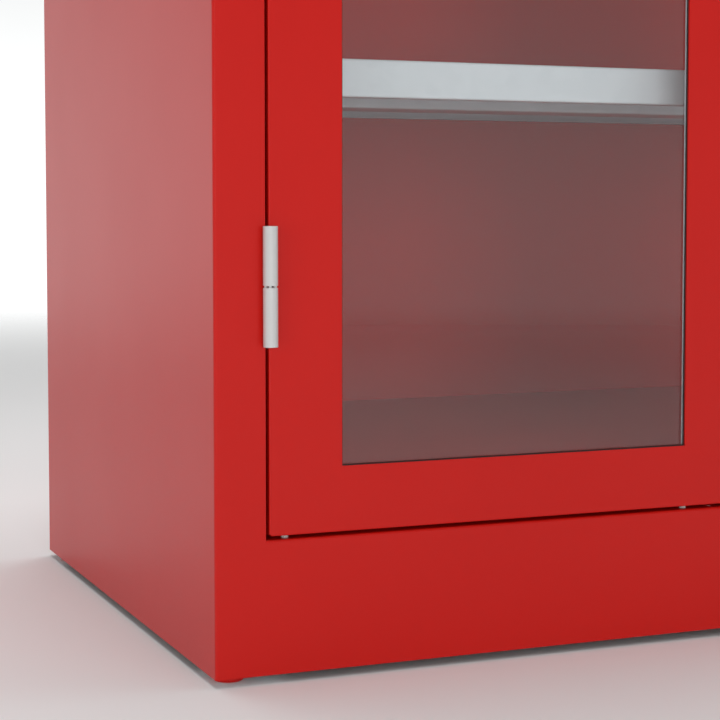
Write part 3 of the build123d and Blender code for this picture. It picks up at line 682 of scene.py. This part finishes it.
@dataclass
class TurnHandle:
    """The wing grip on the right door, with a bore for the key plug."""

    edge_power: float = 4.5
    outline_power: float = 2.8
    wing_rows: int = 16
    wing_columns: int = 96
    wing_width: float = 19 * MM
    hub_rows: int = 14
    hub_columns: int = 64
    hub_radius: float = 13 * MM
    hub_waist: float = 2.6 * MM
    hub_height: float = 14 * MM
    hub_chamfer: float = 0.6 * MM
    hub_sink: float = 4 * MM
    plug_play: float = 0.15 * MM
    bore_lip: float = 0.8 * MM
    bore_overcut: float = 1 * MM
    crease: float = math.radians(40)

    def build(self, paints: PaintShop) -> None:
        """Makes the grip from a crowned wing and a waisted hub, joined and bored.

        Args:
            paints: The shop that holds the materials.
        """
        low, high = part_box("handle_grip")
        plug_low, plug_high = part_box("lock_plug")
        middle = (plug_low + plug_high) / 2
        wing = self.wing(middle, low.y, high.y - self.hub_height, (high.x - low.x) / 2)
        hub = self.hub(middle, high.y)
        bore = self.bore(middle, plug_low, plug_high)
        self.combine(wing, hub, "UNION")
        self.combine(wing, bore, "DIFFERENCE")
        attach(wing, "handle", Finish.DARK_PLASTIC, paints, "handle_grip")

    def wing(self, middle: Vector, front: float, back: float, half_length: float) -> bpy.types.Object:
        """A pillow: a superellipse outline whose front falls away as the edge power of the distance out.

        Args:
            middle: The plug's centre, on the grip's axis.
            front: The foremost Y.
            back: The Y of the flat rear face.
            half_length: Half the wing's length.

        Returns:
            The wing.
        """
        turn = np.linspace(0.0, 2.0 * math.pi, self.wing_columns, endpoint=False)[None, :]
        arc = np.linspace(0.0, math.pi / 2, self.wing_rows)[:, None]
        out = np.sin(arc) ** (2.0 / self.edge_power)
        lift = np.cos(arc) ** (2.0 / self.edge_power)
        ease = 2.0 / self.outline_power
        across = np.sign(np.cos(turn)) * np.abs(np.cos(turn)) ** ease
        upward = np.sign(np.sin(turn)) * np.abs(np.sin(turn)) ** ease
        x = middle.x + half_length * out * across
        z = middle.z + self.wing_width / 2 * out * upward
        y = np.broadcast_to(back + (front - back) * lift, x.shape)
        face = np.stack([x, y, z], axis=-1)
        rear = np.broadcast_to((middle.x, back, middle.z), face[:1].shape)
        return mesh_grid("wing_grip", np.concatenate([face, rear]))

    def hub(self, middle: Vector, back: float) -> bpy.types.Object:
        """A turned hub whose radius draws in by half a sine between its ends.

        Args:
            middle: The plug's centre.
            back: The Y of the hub's rear face.

        Returns:
            The hub.
        """
        t = np.linspace(0.0, 1.0, self.hub_rows)
        reach = self.hub_height + self.hub_sink
        radius = self.hub_radius - self.hub_waist * np.sin(math.pi * t) - self.hub_waist * t
        radius = np.concatenate([[0.0, self.hub_radius - self.hub_chamfer], radius[1:], [0.0]])
        along = np.concatenate([[0.0, 0.0], t[1:] * reach, [reach]])
        x, z, depth = lathe(radius, along, self.hub_columns)
        return mesh_grid("hub", np.stack([middle.x + x, back - depth, middle.z + z], axis=-1))

    def bore(self, middle: Vector, low: Vector, high: Vector) -> bpy.types.Object:
        """A turned cutter for the plug's bore, with a small countersink.

        Args:
            middle: The plug's centre.
            low: The plug's lowest corner.
            high: The plug's highest corner.

        Returns:
            The cutter.
        """
        radius = (high.x - low.x) / 2 + self.plug_play
        start, end = -self.bore_overcut, high.y - low.y
        radii = np.array([0.0, radius + self.bore_lip + self.bore_overcut, radius, radius, 0.0])
        along = np.array([start, start, self.bore_lip, end, end])
        x, z, depth = lathe(radii, along, self.hub_columns)
        return mesh_grid("bore", np.stack([middle.x + x, low.y + depth, middle.z + z], axis=-1))

    def combine(self, target: bpy.types.Object, tool: bpy.types.Object, operation: str) -> None:
        """Joins a tool to a target, or cuts it away, and removes the tool.

        Args:
            target: The piece that stays.
            tool: The piece that is used up.
            operation: UNION or DIFFERENCE.
        """
        joint = target.modifiers.new("combine", "BOOLEAN")
        joint.object = tool
        joint.operation = operation
        joint.solver = "EXACT"
        bpy.context.view_layer.update()
        graph = bpy.context.evaluated_depsgraph_get()
        result = bpy.data.meshes.new_from_object(target.evaluated_get(graph))
        target.modifiers.clear()
        target.data = result
        result.shade_smooth()
        result.set_sharp_from_angle(angle=self.crease)
        bpy.data.objects.remove(tool)


@dataclass
class CrossScrews:
    """Pan-head screws with a cross recess, whose heads face the cabinet's inside."""

    node: str
    body: str
    layout: ScrewLayout
    across: int = 2
    upright: int = 5
    radius: float = 3 * MM
    height: float = 2 * MM
    shank: float = 1.5 * MM
    crown: float = 3.0
    recess_depth: float = 1.2 * MM
    recess_reach: float = 1.75 * MM
    recess_width: float = 0.5 * MM
    recess_slope: float = 0.35 * MM
    rows: int = 18
    columns: int = 48
    crease: float = math.radians(45)

    def places(self) -> np.ndarray:
        """Screw centres: in the box's corners, or evenly spread over each side, half a step from its ends.

        Returns:
            The X and Z of each screw, an array of shape (count, 2).
        """
        low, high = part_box(self.node)
        x0, x1 = low.x + self.radius, high.x - self.radius
        z0, z1 = low.z + self.radius, high.z - self.radius
        if self.layout is ScrewLayout.CORNERS:
            return np.array([(x, z) for x in (x0, x1) for z in (z0, z1)])
        along_x = x0 + (x1 - x0) * (np.arange(self.across) + 0.5) / self.across
        along_z = z0 + (z1 - z0) * (np.arange(self.upright) + 0.5) / self.upright
        rows = [(x, z) for x in along_x for z in (z0, z1)]
        columns = [(x, z) for x in (x0, x1) for z in along_z]
        return np.array(rows + columns)

    def build(self, paints: PaintShop) -> None:
        """Makes all the screws as one piece.

        A head's height falls from the crown as the root of one less a power of the radius. The cross is the
        larger of two arms, each the product of two clipped slopes, and it is taken off that height.

        Args:
            paints: The shop that holds the materials.
        """
        low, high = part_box(self.node)
        out = np.sin(np.linspace(0.0, math.pi / 2, self.rows))
        fall = (1.0 - out ** self.crown) ** (1.0 / self.crown)
        seat = high.y - self.height
        radius = np.concatenate([out * self.radius, [self.shank, self.shank, 0.0]])
        along = np.concatenate([seat + self.height * fall, [seat, low.y, low.y]])
        x, z, y = lathe(radius, along, self.columns)
        arms = (self.arm(x, z), self.arm(z, x))
        y = np.where(y > seat, y - self.recess_depth * np.maximum(*arms), y)
        one = np.stack([x, y, z], axis=-1)
        shift = np.insert(self.places(), 1, 0.0, axis=1)
        piece = mesh_grid(f"{self.node}_crossed", one[None] + shift[:, None, None, :])
        piece.data.set_sharp_from_angle(angle=self.crease)
        attach(piece, self.body, Finish.ZINC, paints, self.node)

    def arm(self, along: np.ndarray, over: np.ndarray) -> np.ndarray:
        """One arm of the cross: full inside its length and width, sloping to nought at its walls.

        Args:
            along: The coordinate along the arm.
            over: The coordinate across it.

        Returns:
            The arm's depth, from 0 to 1.
        """
        length = np.clip((self.recess_reach - np.abs(along)) / self.recess_slope, 0.0, 1.0)
        width = np.clip((self.recess_width - np.abs(over)) / self.recess_slope + 0.5, 0.0, 1.0)
        return length * width


@dataclass(frozen=True)
class Lamp:
    """A square soft lamp that faces the cabinet's middle."""

    name: str
    place: Triple
    side: float
    watts: float
    mirrored: bool = False
    aim: Triple = (0.0, 0.0, 0.5)

    def hang(self) -> None:
        """Hangs the lamp; one that isn't mirrored lights the surfaces but shows in no reflection."""
        data = bpy.data.lights.new(self.name, "AREA")
        data.size = self.side
        data.energy = self.watts
        lamp = bpy.data.objects.new(self.name, data)
        lamp.location = self.place
        way = Vector(self.aim) - Vector(self.place)
        lamp.rotation_euler = way.to_track_quat("-Z", "Y").to_euler()
        lamp.visible_glossy = self.mirrored
        lamp.visible_transmission = self.mirrored
        bpy.context.scene.collection.objects.link(lamp)


@dataclass
class Studio:
    """Floor, light and camera."""

    floor_colour: Colour = (0.90, 0.90, 0.90)
    floor_dim: Colour = (0.882, 0.882, 0.882)
    floor_roughness: float = 0.9
    floor_cloud: float = 0.8
    floor_size: float = 60.0
    floor_fade: Span = (1.8, 6.0)
    sky: Colour = (0.99, 1.0, 1.0)
    front_sky: Span = (0.78, 0.18)
    rear_sky: Span = (1.13, 0.32)
    sky_rise: Span = (0.0, 0.36)
    sky_turn: Span = (-0.3, 0.9)
    lamps: tuple[Lamp, ...] = (
        Lamp("key", (-0.9, -3.8, 0.55), side=1.7, watts=46.0),
        Lamp("front_top", (-0.4, -2.6, 3.2), side=2.4, watts=14.0, mirrored=True),
        Lamp("left_fill", (-3.4, -2.0, 0.9), side=2.0, watts=20.0),
        Lamp("overhead", (0.0, 0.5, 4.2), side=3.0, watts=111.0, mirrored=True),
    )
    camera_place: Triple = (-0.93134, -1.63071, 0.38411)
    yaw: float = 22.390
    pitch: float = -3.475
    lens: float = 89.72
    sensor: float = 36.0
    shift: float = -0.06

    def build(self) -> None:
        """Sets up the whole studio."""
        self.floor()
        self.light()
        self.camera()
        bpy.context.scene.view_settings.view_transform = "Standard"

    def floor(self) -> None:
        """A wide pale floor: a flat grid with a faint cloudy tone that fades into the room far out."""
        side = np.array([-self.floor_size / 2, 0.0, self.floor_size / 2])
        x, y = np.meshgrid(side, side, indexing="ij")
        floor = mesh_grid("studio_floor", np.stack([x, y, np.zeros_like(x)], axis=-1), round_u=False)
        shader = Shader("pale_floor")
        clouds = shader.noise(self.floor_cloud)
        reach = shader.node("ShaderNodeVectorMath", {"operation": "LENGTH"}, {0: shader.place()}, "Value")
        shader.set(
            Base_Color=shader.mix(clouds, self.floor_colour, self.floor_dim),
            Roughness=self.floor_roughness,
            Specular_IOR_Level=0.0,
            Alpha=1.0 - shader.ramp(reach, *self.floor_fade),
        )
        dress(floor, shader.material)

    def light(self) -> None:
        """A soft bright room, palest behind the cabinet, and large soft lamps.

        The room's strength is a smooth step over the height of the view, between a horizon and a zenith
        value, and each of those is a smooth step from the front of the room to its rear.
        """
        world = bpy.data.worlds.new("studio")
        world.use_nodes = True
        bench = Bench(world.node_tree)
        way = bench.node("ShaderNodeTexCoord", output="Generated")
        height = bench.node("ShaderNodeSeparateXYZ", None, {0: way}, "Z")
        depth = bench.node("ShaderNodeSeparateXYZ", None, {0: way}, "Y")
        spans = zip(self.front_sky, self.rear_sky)
        horizon, zenith = (bench.ramp(depth, *self.sky_turn, front, rear) for front, rear in spans)
        room = world.node_tree.nodes["Background"]
        bench.feed(room.inputs["Strength"], bench.ramp(height, *self.sky_rise, horizon, zenith))
        bench.feed(room.inputs["Color"], self.sky)
        bpy.context.scene.world = world
        for lamp in self.lamps:
            lamp.hang()

    def camera(self) -> None:
        """A camera at the reference picture's viewing angle."""
        data = bpy.data.cameras.new("camera")
        data.lens = self.lens
        data.sensor_width = self.sensor
        data.shift_y = self.shift
        data.dof.use_dof = False
        camera = bpy.data.objects.new("camera", data)
        camera.location = self.camera_place
        camera.rotation_euler = (math.radians(90 + self.pitch), 0.0, -math.radians(self.yaw))
        bpy.context.scene.collection.objects.link(camera)
        bpy.context.scene.camera = camera


def main() -> None:
    """Builds the finishes, the modelled details and the studio."""
    logging.basicConfig(level=logging.INFO, format="%(name)s: %(message)s")
    paints = PaintShop()
    paints.coat()
    for corner in FOOT_CORNERS:
        LevellingFoot(corner, f"{corner}_foot").build(paints)
    TurnHandle().build(paints)
    CrossScrews("left_glazing_screws", "left_door", ScrewLayout.SIDES).build(paints)
    CrossScrews("right_glazing_screws", "right_door", ScrewLayout.SIDES).build(paints)
    CrossScrews("lock_case_screws", "right_door", ScrewLayout.CORNERS).build(paints)
    Studio().build()


if __name__ == "__main__":
    main()
